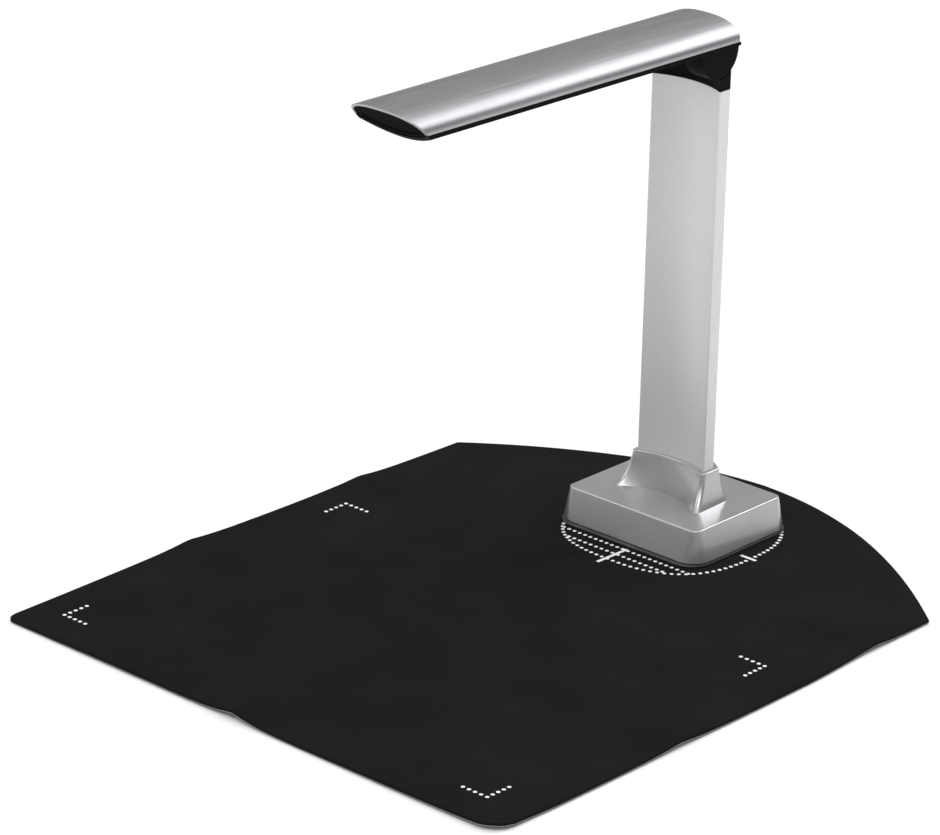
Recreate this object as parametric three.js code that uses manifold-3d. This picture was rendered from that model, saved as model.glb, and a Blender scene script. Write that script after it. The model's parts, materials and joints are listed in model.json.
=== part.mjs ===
// Book scanner: a folding document camera that stands on a soft positioning mat.
// Millimetres, +Z up. The origin is on the mat's underside, below the centre of the stand's base.
// +X is the user's right and +Y points away from the user; the arm reaches towards the user (-Y).

import * as THREE from 'three';
import * as BufferGeometryUtils from 'three/addons/utils/BufferGeometryUtils.js';
import Module from 'manifold-3d';

const wasm = await Module();
wasm.setup();

// ---------------------------------------------------------------- driving dimensions

const gap = 0.3;                 // clearance between neighbouring pieces

const mat = {
  thickness: 2, centreX: 5, halfWidth: 170.5, frontY: -341,
  backRadius: 225, backCentreY: -148, frontLeftRadius: 6, frontRightRadius: 13,
};

const base = {
  bottomZ: 3.9, topZ: 21.7, wall: 2.2,
  bottomHalfX: 50.3, bottomHalfY: 41.3, bottomRadius: 12,
  topHalfX: 46, topHalfY: 36.2, topRadius: 4, edgeRadius: 0.8,
  bossX: 38, bossY: 26.5, bossRadius: 3.6,
};

const neck = {
  topZ: 40.8, flarePower: 1.6, flareShare: 0.93, middlePower: 1.15, cavityTopZ: 32, wall: 2.2,
  rim: {
    frontHalf: 25.9, backHalf: 25.9,
    frontCornerY: -8.2, frontMidY: -1.6, backCornerY: 5.8, backMidY: 15.6,
  },
  foot: {
    frontHalf: 28.6, backHalf: 28.7,
    frontCornerY: -16.4, frontMidY: -7, backCornerY: 9.3, backMidY: 21.5,
  },
};

const column = {
  halfWidth: 23.6, frontCornerY: -5, frontMidY: 1, backCornerY: 3.6, backMidY: 13,
  wall: 1.8, bottomZ: 17.5, topZ: 256,
};

const plate = {
  bottomZ: 2.4, rimTopZ: 3.4, rimHalfX: 50.5, rimHalfY: 42.8, rimRadius: 13.4,
  topZ: 5.4, inset: 3.1, screwSeatZ: 4.3,
};
const weight = { bottomZ: 5.7, topZ: 11.7, halfX: 43, frontY: -33, backY: 31, notchX: 32, notchY: 20 };
const foot = { radius: 6, x: 25, y: 28.5, recess: 0.9 };
const columnFoot = {
  halfX: 35, frontY: -4, backY: 9, bottomZ: 12, topZ: 14.5, plugTopZ: 28, screwX: 30, screwY: 2.5,
};

const board = { halfX: 22, frontY: 15, backY: 31.6, bottomZ: 12.9, topZ: 14.1 };
const usb = { x: 14, halfX: 4.5, bottomZ: 14.1, topZ: 17.4, frontY: 28.5, mouthY: 37.3, wall: 0.4 };
const button = { x: -14, z: 15.2, radius: 3.4, flangeRadius: 4, flangeY: 33, faceY: 39.6, chamfer: 0.5 };

const pivot = { y: -5.6, z: 278 };
const knuckle = { radius: 14.7, halfWidth: 23.5, wall: 1.6, saddleRadius: 15.1 };
const barrel = { radius: 10.8, halfWidth: 9.7, frontY: -6, webDrop: 14.8 };
const hingeCapTopZ = 270;
const capScrew = { x: 16, y: 2.6, seatZ: 261 };
const shaft = { radius: 4, boreRadius: 2.6, leftX: -17.9, rightX: 21.4, clearance: 0.15 };
const shaftHead = { radius: 6.4, thickness: 1.1 };
const washer = { radius: 7.2, clearance: 0.15 };
const ear = { innerX: 10.9, plateX: 13.9, outerX: 16.5, bossRadius: 7.5, slotFrontY: -16.4 };
const nut = { fromX: 18.3, thickness: 2.6, radius: 6.8 };

// The arm is drawn level in its own frame, with its origin on the hinge axis.
const arm = {
  rise: 0.72,                    // degrees that the open arm climbs towards its tip
  seamZ: 3.3, halfWidth: 24.8, crown: 10.6, power: 2.36, wall: 1.5,
  bellyHalf: 24.4, bellyEdgeZ: 0.5, bellyMidZ: -5, bellyWall: 1.6,
  tipY: -224.8, tipSlope: 1, rearY: 14.2, rearSlope: 0.14, capThickness: 2, capRecess: 0.6,
};

const bezel = { frontY: -214, backY: -178, half: 16.8, bottomZ: -2.3, topZ: -0.8, cornerRadius: 4 };
const lens = { y: -201, holeRadius: 7, barrelRadius: 6.3, bottomZ: -1.9 };
const led = { x: 12, halfX: 2.6, frontY: -210, backY: -184, count: 5 };
const armBoss = { x: 18.6, ys: [-166, -44], radius: 3 };
const armScrewSeatZ = 0.2;

// The sunken panel in the tip cap's face is the cap's own outline, made smaller.
const tipPanel = { centreZ: 3, scaleX: 0.84, scaleZ: 0.62, depth: 0.7 };

// The cable's middle line: first up the column and into the hinge shaft, then on through the arm.
const cableRoute = {
  radius: 1.2,
  stand: [
    [2, 24, 15.6], [0.5, 17, 15.5], [0, 11, 15.1], [0, 7.4, 16.4], [0, 6.5, 21], [0, 6.5, 120], [0, 6.5, 200],
    [0, 6.4, 250], [0, 5.2, 261], [0, -0.6, 267.6], [0, pivot.y, 272.4], [-0.7, pivot.y, 276.6],
    [-3.2, pivot.y, pivot.z], [-8, pivot.y, pivot.z], [-15.6, pivot.y, pivot.z],
  ],
  arm: [
    [-16, 0, 0], [-18.6, -0.2, 0], [-19.9, -2.4, 0.8], [-19.9, -8, 2], [-18.4, -16, 2.4],
    [-12, -32, 1.2], [0, -62, -1], [0, -140, -1], [1, -160, 1], [2, -172, 4.2],
  ],
};

// ---------------------------------------------------------------- solids

// A closed geometry becomes a manifold solid once its shared vertices are merged.
function solid(geometry) {
  geometry.deleteAttribute('normal');
  geometry.deleteAttribute('uv');
  const merged = BufferGeometryUtils.mergeVertices(geometry, 1e-4);
  const mesh = new wasm.Mesh({
    numProp: 3,
    vertProperties: new Float32Array(merged.attributes.position.array),
    triVerts: new Uint32Array(merged.index.array),
  });
  return new wasm.Manifold(mesh);
}

function geometryOf(manifold) {
  const mesh = manifold.getMesh();
  const geometry = new THREE.BufferGeometry();
  geometry.setAttribute('position', new THREE.BufferAttribute(new Float32Array(mesh.vertProperties), 3));
  geometry.setIndex(new THREE.BufferAttribute(new Uint32Array(mesh.triVerts), 1));
  geometry.computeVertexNormals();
  return geometry;
}

function box(x0, x1, y0, y1, z0, z1) {
  const geometry = new THREE.BoxGeometry(x1 - x0, y1 - y0, z1 - z0);
  geometry.translate((x0 + x1) / 2, (y0 + y1) / 2, (z0 + z1) / 2);
  return solid(geometry);
}

// A cylinder along X, Y or Z between two values of that axis; centre holds the other two, in X, Y, Z order.
function rod(axis, radius, from, to, centre, segments = 20, endRadius = radius) {
  const geometry = new THREE.CylinderGeometry(endRadius, radius, to - from, segments);
  const middle = (from + to) / 2;
  if (axis === 'x') {
    geometry.rotateZ(-Math.PI / 2);
    geometry.translate(middle, centre[0], centre[1]);
  } else if (axis === 'y') {
    geometry.translate(centre[0], middle, centre[1]);
  } else {
    geometry.rotateX(Math.PI / 2);
    geometry.translate(centre[0], centre[1], middle);
  }
  return solid(geometry);
}

// A flat outline in X and Y, raised from z0 to z1.
function slab(points, z0, z1) {
  const raise = { depth: z1 - z0, bevelEnabled: false };
  const geometry = new THREE.ExtrudeGeometry(new THREE.Shape(points), raise);
  geometry.translate(0, 0, z0);
  return solid(geometry);
}

// A section in X and Z, swept along Y from y0 to y1.
function beam(points, y0, y1) {
  const sweep = { depth: y1 - y0, bevelEnabled: false };
  const geometry = new THREE.ExtrudeGeometry(new THREE.Shape(points), sweep);
  geometry.rotateX(Math.PI / 2);
  geometry.translate(0, y1, 0);
  return solid(geometry);
}

// Rings of the same number of points, joined into one closed skin.
function loft(rings) {
  const count = rings[0].length;
  const positions = rings.flat().flatMap((point) => [point.x, point.y, point.z]);
  const index = [];
  for (let level = 0; level < rings.length - 1; level += 1) {
    for (let i = 0; i < count; i += 1) {
      const a = level * count + i;
      const b = level * count + (i + 1) % count;
      index.push(a, b, b + count, a, b + count, a + count);
    }
  }
  const flat = (ring) => ring.map((point) => new THREE.Vector2(point.x, point.y));
  for (const [a, b, c] of THREE.ShapeUtils.triangulateShape(flat(rings[0]), [])) index.push(a, c, b);
  const last = (rings.length - 1) * count;
  for (const [a, b, c] of THREE.ShapeUtils.triangulateShape(flat(rings.at(-1)), [])) {
    index.push(last + a, last + b, last + c);
  }
  const geometry = new THREE.BufferGeometry();
  geometry.setAttribute('position', new THREE.Float32BufferAttribute(positions, 3));
  geometry.setIndex(index);
  return solid(geometry);
}

// A round tube along a smooth curve through the points.
function cord(points, radius, steps, sides = 6) {
  const path = new THREE.CatmullRomCurve3(points.map((point) => new THREE.Vector3(...point)));
  const section = new THREE.Shape();
  for (let i = 0; i < sides; i += 1) {
    const angle = i / sides * Math.PI * 2;
    const corner = [radius * Math.cos(angle), radius * Math.sin(angle)];
    if (i === 0) section.moveTo(...corner);
    else section.lineTo(...corner);
  }
  return solid(new THREE.ExtrudeGeometry(section, { steps, extrudePath: path, bevelEnabled: false }));
}

const join = (first, ...others) => others.reduce((sum, item) => sum.add(item), first);
const cut = (first, ...others) => others.reduce((rest, item) => rest.subtract(item), first);
const at = (points, z) => points.map((point) => new THREE.Vector3(point.x, point.y, z));

// ---------------------------------------------------------------- outlines

// Points along a circular arc, ends included.
function arc(centreX, centreY, radius, startAngle, endAngle, steps) {
  return Array.from({ length: steps + 1 }, (_, i) => {
    const angle = startAngle + (endAngle - startAngle) * i / steps;
    return new THREE.Vector2(centreX + radius * Math.cos(angle), centreY + radius * Math.sin(angle));
  });
}

function roundedRectangle(halfX, halfY, radius, steps = 4, centreX = 0, centreY = 0) {
  const corners = [[1, -1], [1, 1], [-1, 1], [-1, -1]];
  return corners.flatMap(([sx, sy], i) => arc(
    centreX + sx * (halfX - radius), centreY + sy * (halfY - radius), radius,
    (i - 1) * Math.PI / 2, i * Math.PI / 2, steps,
  ));
}

// The plan of the column and its neighbours: hollow in front, straight sides, rounded back.
function shieldPlan(plan, inset = 0, steps = 10) {
  const frontRise = plan.frontMidY - plan.frontCornerY;
  const frontRadius = (plan.frontHalf ** 2 + frontRise ** 2) / (2 * frontRise);
  const backRise = plan.backMidY - plan.backCornerY;
  const backRadius = (plan.backHalf ** 2 + backRise ** 2) / (2 * backRise);
  const frontHalf = plan.frontHalf - inset;
  const backHalf = plan.backHalf - inset;
  const frontAngle = Math.asin(frontHalf / (frontRadius + inset));
  const backAngle = Math.asin(backHalf / (backRadius - inset));
  const up = Math.PI / 2;
  const frontCentreY = plan.frontMidY - frontRadius;
  const backCentreY = plan.backMidY - backRadius;
  return [
    ...arc(0, frontCentreY, frontRadius + inset, up + frontAngle, up - frontAngle, steps),
    ...arc(0, backCentreY, backRadius - inset, up - backAngle, up + backAngle, steps),
  ];
}

const columnPlan = { ...column, frontHalf: column.halfWidth, backHalf: column.halfWidth };

// The neck's plan at a height: its ridges stay slim near the rim and spread where they meet the base.
function neckPlan(z, inset = 0) {
  const flare = (share) => 1 - (1 - (neck.flareShare * share) ** neck.flarePower) ** (1 / neck.flarePower);
  const drop = Math.min(1, Math.max(0, (neck.topZ - z) / (neck.topZ - base.topZ)));
  const ridges = flare(drop) / flare(1);
  const middle = drop ** neck.middlePower;
  const plan = {};
  for (const key of Object.keys(neck.rim)) {
    const spread = key.endsWith('MidY') ? middle : ridges;
    plan[key] = neck.rim[key] + (neck.foot[key] - neck.rim[key]) * spread;
  }
  return shieldPlan(plan, inset);
}

// The upper shell's arch: a flattened ellipse from edge to edge.
function archPoints(halfWidth, height, steps = 24) {
  return Array.from({ length: steps + 1 }, (_, i) => {
    const x = halfWidth * Math.cos(i / steps * Math.PI);
    const z = height * (1 - Math.abs(x / halfWidth) ** arm.power) ** (1 / arm.power);
    return new THREE.Vector2(x, arm.seamZ + z);
  });
}

// The lower shell's belly, from one top edge round to the other.
function bellyPoints(halfWidth, wall, topZ, steps = 12) {
  const curve = Array.from({ length: steps + 1 }, (_, i) => {
    const share = -1 + 2 * i / steps;
    const z = arm.bellyMidZ + (arm.bellyEdgeZ - arm.bellyMidZ) * share ** 2 + wall;
    return new THREE.Vector2(halfWidth * share, z);
  });
  return [new THREE.Vector2(-halfWidth, topZ), ...curve, new THREE.Vector2(halfWidth, topZ)];
}

// A big block that removes everything beyond the arm's slanted tip, moved back by a distance along Y.
function beyondTip(back = 0) {
  const reach = 40;
  const edge = (z) => arm.tipY + back - arm.tipSlope * (z - arm.seamZ);
  const side = [
    new THREE.Vector2(edge(-reach), -reach), new THREE.Vector2(edge(reach), reach),
    new THREE.Vector2(arm.tipY - 2 * reach, reach), new THREE.Vector2(arm.tipY - 2 * reach, -reach),
  ];
  return sideBlock(side, reach);
}

function beyondRear(front = 0) {
  const reach = 40;
  const edge = (z) => arm.rearY - front + arm.rearSlope * (z - arm.seamZ);
  const side = [
    new THREE.Vector2(edge(-reach), -reach), new THREE.Vector2(arm.rearY + 2 * reach, -reach),
    new THREE.Vector2(arm.rearY + 2 * reach, reach), new THREE.Vector2(edge(reach), reach),
  ];
  return sideBlock(side, reach);
}

// A side view in Y and Z, spread across X by half a width each way.
function sideBlock(points, halfWidth) {
  const shape = new THREE.Shape(points);
  const geometry = new THREE.ExtrudeGeometry(shape, { depth: 2 * halfWidth, bevelEnabled: false });
  geometry.rotateX(Math.PI / 2);
  geometry.rotateZ(Math.PI / 2);
  geometry.translate(-halfWidth, 0, 0);
  return solid(geometry);
}

// ---------------------------------------------------------------- materials

const finishes = {
  silverPaint: { color: 0xa9a9ad, roughness: 0.28, metalness: 0.75 },
  satinAluminium: { color: 0xb7b7ba, roughness: 0.45, metalness: 0.8 },
  brushedAluminium: { color: 0x9c9b9f, roughness: 0.32, metalness: 0.9 },
  blackPlastic: { color: 0x161618, roughness: 0.45, metalness: 0 },
  greyPlastic: { color: 0x4c4c4f, roughness: 0.5, metalness: 0 },
  glossBlack: { color: 0x0c0c0e, roughness: 0.12, metalness: 0 },
  matCloth: { color: 0x1e1e20, roughness: 0.95, metalness: 0 },
  rubber: { color: 0x1b1b1b, roughness: 0.85, metalness: 0 },
  steel: { color: 0x8d8f92, roughness: 0.35, metalness: 1 },
  zincSteel: { color: 0xa4a6a8, roughness: 0.5, metalness: 0.9 },
  circuitBoard: { color: 0x14532d, roughness: 0.5, metalness: 0 },
  glass: { color: 0x20242c, roughness: 0.03, metalness: 0 },
  diffuser: { color: 0xf2f1ea, roughness: 0.4, metalness: 0 },
  cable: { color: 0x202022, roughness: 0.6, metalness: 0 },
};

const scanner = new THREE.Group();
const armGroup = new THREE.Group();
armGroup.position.set(0, pivot.y, pivot.z);
armGroup.rotation.x = THREE.MathUtils.degToRad(-arm.rise);
scanner.add(armGroup);

function place(name, manifold, finish, parent = scanner) {
  const mesh = new THREE.Mesh(geometryOf(manifold), new THREE.MeshStandardMaterial(finishes[finish]));
  mesh.name = name;
  parent.add(mesh);
}

// A screw with a slotted round head; it points along +Z or -Z from the head's seat.
function screw(x, y, seatZ, length, direction, headRadius = 2.7, shankRadius = 1.35) {
  const headHeight = 1.1;
  const headZ = seatZ - direction * headHeight;
  const span = (a, b) => [Math.min(a, b), Math.max(a, b)];
  const head = rod('z', headRadius, ...span(headZ, seatZ), [x, y], 16);
  const shankSpan = span(seatZ - direction * 0.2, seatZ + direction * length);
  const shank = rod('z', shankRadius, ...shankSpan, [x, y], 8);
  const recess = span(headZ - direction * 0.2, headZ + direction * 0.6);
  const slot = box(x - 1.5, x + 1.5, y - 0.3, y + 0.3, ...recess);
  return cut(join(head, shank), slot);
}

// ---------------------------------------------------------------- positioning mat

function matOutline() {
  const left = mat.centreX - mat.halfWidth;
  const right = mat.centreX + mat.halfWidth;
  const sweep = Math.asin(mat.halfWidth / mat.backRadius);
  return [
    ...arc(left + mat.frontLeftRadius, mat.frontY + mat.frontLeftRadius, mat.frontLeftRadius,
      Math.PI, Math.PI * 1.5, 6),
    ...arc(right - mat.frontRightRadius, mat.frontY + mat.frontRightRadius, mat.frontRightRadius,
      -Math.PI / 2, 0, 8),
    ...arc(mat.centreX, mat.backCentreY, mat.backRadius, Math.PI / 2 - sweep, Math.PI / 2 + sweep, 40),
  ];
}

place('positioning_mat', slab(matOutline(), 0, mat.thickness), 'matCloth');

// ---------------------------------------------------------------- base

// The base's outer shape at a share of its height, from its lower edge to its top edge.
function baseRing(share, inset, z, steps = 6) {
  const mix = (a, b) => a + (b - a) * share;
  const radius = Math.max(1, mix(base.bottomRadius, base.topRadius) - inset);
  const halfX = mix(base.bottomHalfX, base.topHalfX) - inset;
  const halfY = mix(base.bottomHalfY, base.topHalfY) - inset;
  return at(roundedRectangle(halfX, halfY, radius, steps), z);
}

const baseShare = (z) => (z - base.bottomZ) / (base.topZ - base.bottomZ);

function baseBlock() {
  const shoulder = base.topZ - base.edgeRadius;
  const rings = [baseRing(0, 0, base.bottomZ), baseRing(baseShare(shoulder), 0, shoulder)];
  for (let i = 1; i <= 3; i += 1) {
    const angle = i / 3 * Math.PI / 2;
    const z = shoulder + base.edgeRadius * Math.sin(angle);
    rings.push(baseRing(baseShare(z), base.edgeRadius * (1 - Math.cos(angle)), z));
  }
  return loft(rings);
}

function neckBlock(inset, fromZ, toZ, steps) {
  const rings = [];
  for (let i = 0; i <= steps; i += 1) {
    const z = fromZ + (toZ - fromZ) * i / steps;
    rings.push(at(neckPlan(z, inset), z));
  }
  return loft(rings);
}

function baseShell() {
  const floor = base.topZ - base.wall;
  const cavity = loft([
    baseRing(0, base.wall, base.bottomZ - 1),
    baseRing(baseShare(floor), base.wall, floor),
  ]);
  const socket = slab(shieldPlan(columnPlan, -gap), base.bottomZ, neck.topZ + 1);
  const neckCavity = neckBlock(neck.wall, floor - 0.5, neck.cavityTopZ, 4);
  let shell = cut(join(baseBlock(), neckBlock(0, base.topZ - 1, neck.topZ, 9)), cavity, neckCavity, socket);
  for (const sx of [-1, 1]) {
    for (const sy of [-1, 1]) {
      const centre = [sx * base.bossX, sy * base.bossY];
      const boss = rod('z', base.bossRadius, plate.topZ + gap, floor + 0.5, centre, 14);
      const hole = rod('z', 1.6, plate.topZ, 15, centre, 10);
      shell = cut(join(shell, boss), hole);
    }
  }
  const socketHole = box(usb.x - usb.halfX - gap, usb.x + usb.halfX + gap, usb.frontY + 4, 42,
    usb.bottomZ - gap, usb.topZ + gap);
  const buttonHole = rod('y', button.radius + gap, 32, 42, [button.x, button.z], 24);
  return cut(shell, socketHole, buttonHole);
}

place('base_shell', baseShell(), 'silverPaint');

// A wide rim shows below the shell as a low plinth, and a smaller step reaches up inside it.
function bottomPlate() {
  const rim = slab(
    roundedRectangle(plate.rimHalfX, plate.rimHalfY, plate.rimRadius, 8), plate.bottomZ, plate.rimTopZ,
  );
  const step = slab(roundedRectangle(
    base.bottomHalfX - plate.inset, base.bottomHalfY - plate.inset, base.bottomRadius - plate.inset,
  ), plate.rimTopZ - 0.2, plate.topZ);
  let body = join(rim, step);
  for (const sx of [-1, 1]) {
    for (const sy of [-1, 1]) {
      const screwAt = [sx * base.bossX, sy * base.bossY];
      const footAt = [sx * foot.x, sy * foot.y];
      const screwHole = rod('z', 1.7, plate.bottomZ - 1, plate.topZ + 1, screwAt, 12);
      const screwSeat = rod('z', 3.1, plate.bottomZ - 1, plate.screwSeatZ, screwAt, 16);
      const footSeatTop = plate.bottomZ + foot.recess;
      const footSeat = rod('z', foot.radius + gap, plate.bottomZ - 1, footSeatTop, footAt, 24);
      body = cut(body, screwHole, screwSeat, footSeat);
    }
  }
  return body;
}

place('base_bottom_plate', bottomPlate(), 'greyPlastic');

for (const [side, sx] of [['left', -1], ['right', 1]]) {
  for (const [end, sy] of [['front', -1], ['rear', 1]]) {
    const centre = [sx * foot.x, sy * foot.y];
    const pad = rod('z', foot.radius, mat.thickness, plate.bottomZ + foot.recess, centre, 24);
    place(`base_foot_${end}_${side}`, pad, 'rubber');
    const fixing = screw(sx * base.bossX, sy * base.bossY, plate.screwSeatZ, 9, 1);
    place(`base_screw_${end}_${side}`, fixing, 'zincSteel');
  }
}

function baseWeight() {
  const block = box(-weight.halfX, weight.halfX, weight.frontY, weight.backY, weight.bottomZ, weight.topZ);
  const notches = [[-1, -1], [-1, 1], [1, -1], [1, 1]].map(([sx, sy]) => {
    const x = [sx * weight.notchX, sx * 60].sort((a, b) => a - b);
    const y = [sy * weight.notchY, sy * 60].sort((a, b) => a - b);
    return box(...x, ...y, 0, 20);
  });
  const tapped = [-1, 1].map((sx) => {
    const centre = [sx * columnFoot.screwX, columnFoot.screwY];
    return rod('z', 1.6, weight.topZ - 4.5, 20, centre, 10);
  });
  return cut(block, ...notches, ...tapped);
}

place('base_weight', baseWeight(), 'steel');

// ---------------------------------------------------------------- column

function columnFootBracket() {
  const flange = box(-columnFoot.halfX, columnFoot.halfX, columnFoot.frontY, columnFoot.backY,
    columnFoot.bottomZ, columnFoot.topZ);
  const seat = slab(shieldPlan(columnPlan), columnFoot.topZ - 1, column.bottomZ - gap);
  const plug = slab(shieldPlan(columnPlan, column.wall + gap), columnFoot.topZ - 1, columnFoot.plugTopZ);
  const cableHole = rod('z', 2.6, 0, 40, [0, 6.5], 16);
  const cableNotch = box(-2.6, 2.6, 6.5, 20, 0, column.bottomZ - gap);
  const screwHoles = [-1, 1].map((sx) => {
    return rod('z', 1.7, 0, 40, [sx * columnFoot.screwX, columnFoot.screwY], 10);
  });
  return cut(join(flange, seat, plug), cableHole, cableNotch, ...screwHoles);
}

place('column_foot', columnFootBracket(), 'zincSteel');

for (const [side, sx] of [['left', -1], ['right', 1]]) {
  const fixing = screw(sx * columnFoot.screwX, columnFoot.screwY, columnFoot.topZ, 6, -1);
  place(`column_foot_screw_${side}`, fixing, 'zincSteel');
}

function columnTube() {
  const outer = slab(shieldPlan(columnPlan), column.bottomZ, column.topZ);
  const inner = slab(shieldPlan(columnPlan, column.wall), column.bottomZ - 1, column.topZ + 1);
  return cut(outer, inner);
}

place('column', columnTube(), 'satinAluminium');
place('column_cable', cord(cableRoute.stand, cableRoute.radius, 56), 'cable');

// ---------------------------------------------------------------- board, socket and lamp button

function mainBoard() {
  const sheet = box(-board.halfX, board.halfX, board.frontY, board.backY, board.bottomZ, board.topZ);
  const overlap = board.topZ - 0.2;
  const chips = [
    box(-6, 0, 24.5, 30.5, overlap, board.topZ + 1.2),
    box(4, 7.5, 19, 23, overlap, board.topZ + 0.9),
    box(-20, -15, 18, 22, overlap, board.topZ + 1.6),
  ];
  const capacitors = [-9, 11, 18].map((x) => rod('z', 1.6, overlap, board.topZ + 3.4, [x, 20.5], 10));
  const posts = [-18, 18].map((x) => rod('z', 2, weight.topZ + 0.1, board.bottomZ + 0.2, [x, 17.5], 8));
  return join(sheet, ...chips, ...capacitors, ...posts);
}

place('main_board', mainBoard(), 'circuitBoard');

function usbSocket() {
  const outer = box(usb.x - usb.halfX, usb.x + usb.halfX, usb.frontY, usb.mouthY,
    usb.bottomZ + 0.1, usb.topZ);
  const mouth = box(usb.x - usb.halfX + usb.wall, usb.x + usb.halfX - usb.wall, usb.frontY + 1.5, 40,
    usb.bottomZ + 0.1 + usb.wall, usb.topZ - usb.wall);
  const tongue = box(usb.x - 3, usb.x + 3, usb.frontY + 1, usb.mouthY - 1, 15.45, 16.15);
  return join(cut(outer, mouth), tongue);
}

place('usb_socket', usbSocket(), 'steel');

const lampSwitch = join(
  box(button.x - 3, button.x + 3, 26.6, 30.2, board.topZ + 0.1, board.topZ + 3.7),
  rod('y', 1.6, 30, 31.8, [button.x, board.topZ + 1.9], 16),
);
place('lamp_switch', lampSwitch, 'blackPlastic');

const lampButton = join(
  rod('y', button.flangeRadius, button.flangeY, button.flangeY + 1, [button.x, button.z], 24),
  rod('y', button.radius, button.flangeY + 0.5, button.faceY - button.chamfer, [button.x, button.z], 24),
  rod('y', button.radius, button.faceY - button.chamfer, button.faceY, [button.x, button.z], 24,
    button.radius - button.chamfer),
);
place('lamp_button', lampButton, 'blackPlastic');

// ---------------------------------------------------------------- hinge

function aboutPivot(radius, fromX, toX, segments = 32) {
  return rod('x', radius, fromX, toX, [pivot.y, pivot.z], segments);
}

function hingeCap() {
  const block = slab(shieldPlan(columnPlan), column.topZ + 0.1, hingeCapTopZ);
  const plug = slab(shieldPlan(columnPlan, column.wall + gap), column.topZ - 12, column.topZ + 1);
  const web = box(-barrel.halfWidth, barrel.halfWidth, pivot.y + barrel.frontY, pivot.y + barrel.radius,
    pivot.z - barrel.webDrop, pivot.z);
  const saddles = [-1, 1].map((sx) => {
    const x = [sx * (barrel.halfWidth + gap), sx * 40].sort((a, b) => a - b);
    return aboutPivot(knuckle.saddleRadius, ...x, 48);
  });
  const middle = join(web, aboutPivot(barrel.radius, -barrel.halfWidth, barrel.halfWidth));
  const body = join(cut(join(block, plug), ...saddles), middle);
  const channel = cord(cableRoute.stand.slice(6, 12), cableRoute.radius + 0.8, 14);
  const bore = aboutPivot(shaft.radius + 0.1, -20, 20);
  const screwHoles = [-1, 1].map((sx) => rod('z', 1.7, 240, 280, [sx * capScrew.x, capScrew.y], 10));
  const screwSeats = [-1, 1].map((sx) => rod('z', 3, capScrew.seatZ, 280, [sx * capScrew.x, capScrew.y], 16));
  return cut(body, channel, bore, ...screwHoles, ...screwSeats);
}

place('hinge_cap', hingeCap(), 'blackPlastic');

for (const [side, sx] of [['left', -1], ['right', 1]]) {
  const fixing = screw(sx * capScrew.x, capScrew.y, capScrew.seatZ, 14, -1, 2.6);
  place(`hinge_cap_screw_${side}`, fixing, 'zincSteel');
}

function hingeShaft() {
  const tube = aboutPivot(shaft.radius, shaft.leftX + shaftHead.thickness / 2, shaft.rightX);
  const head = aboutPivot(shaftHead.radius, shaft.leftX, shaft.leftX + shaftHead.thickness);
  const bore = aboutPivot(shaft.boreRadius, shaft.leftX - 1, shaft.rightX + 1);
  const cableSlot = box(-2.4, 2.4, pivot.y - 1.9, pivot.y + 1.9, pivot.z - 6, pivot.z);
  return cut(join(tube, head), bore, cableSlot);
}

place('hinge_shaft', hingeShaft(), 'steel');

// A flat ring round the hinge axis.
function ring(outerRadius, innerRadius, fromX, toX) {
  return cut(aboutPivot(outerRadius, fromX, toX), aboutPivot(innerRadius, fromX - 1, toX + 1));
}

const washerBore = shaft.radius + shaft.clearance;
const washerFromX = barrel.halfWidth + washer.clearance;
const washerToX = ear.innerX - washer.clearance;
place('friction_washer_left', ring(washer.radius, washerBore, -washerToX, -washerFromX), 'steel');
place('friction_washer_right', ring(washer.radius, washerBore, washerFromX, washerToX), 'steel');

function springWasher() {
  const startX = ear.outerX + 0.2;
  const profile = [
    new THREE.Vector2(washerBore, 0.7), new THREE.Vector2(7, 0), new THREE.Vector2(7, 0.6),
    new THREE.Vector2(washerBore, 1.3), new THREE.Vector2(washerBore, 0.7),
  ];
  const geometry = new THREE.LatheGeometry(profile, 28);
  geometry.rotateZ(-Math.PI / 2);
  geometry.translate(startX, pivot.y, pivot.z);
  return solid(geometry);
}

place('hinge_spring_washer', springWasher(), 'steel');

const hingeNut = cut(
  aboutPivot(nut.radius, nut.fromX, nut.fromX + nut.thickness, 6),
  aboutPivot(shaft.radius + 0.1, nut.fromX - 1, nut.fromX + nut.thickness + 1),
);
place('hinge_nut', hingeNut, 'zincSteel');

// ---------------------------------------------------------------- arm shells

const armFrontY = arm.tipY - 20;
const armBackY = arm.rearY + 6;

function armTopShell() {
  const outer = beam(archPoints(arm.halfWidth, arm.crown), armFrontY, armBackY);
  const inner = join(
    beam(archPoints(arm.halfWidth - arm.wall, arm.crown - arm.wall), armFrontY - 1, armBackY + 1),
    box(-arm.halfWidth + arm.wall, arm.halfWidth - arm.wall, armFrontY - 1, armBackY + 1,
      arm.seamZ - 1, arm.seamZ + 0.01),
  );
  let shell = cut(outer, inner, beyondTip(), beyondRear());
  for (const y of armBoss.ys) {
    for (const sx of [-1, 1]) {
      const centre = [sx * armBoss.x, y];
      const boss = rod('z', armBoss.radius, arm.seamZ, arm.seamZ + arm.crown, centre, 12);
      const within = beam(archPoints(arm.halfWidth - 0.5, arm.crown - 0.5), armFrontY, armBackY);
      const hole = rod('z', 1.1, arm.seamZ - 1, arm.seamZ + 5, centre, 8);
      shell = cut(join(shell, boss.intersect(within)), hole);
    }
  }
  return shell;
}

place('arm_top_shell', armTopShell(), 'brushedAluminium', armGroup);

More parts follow.
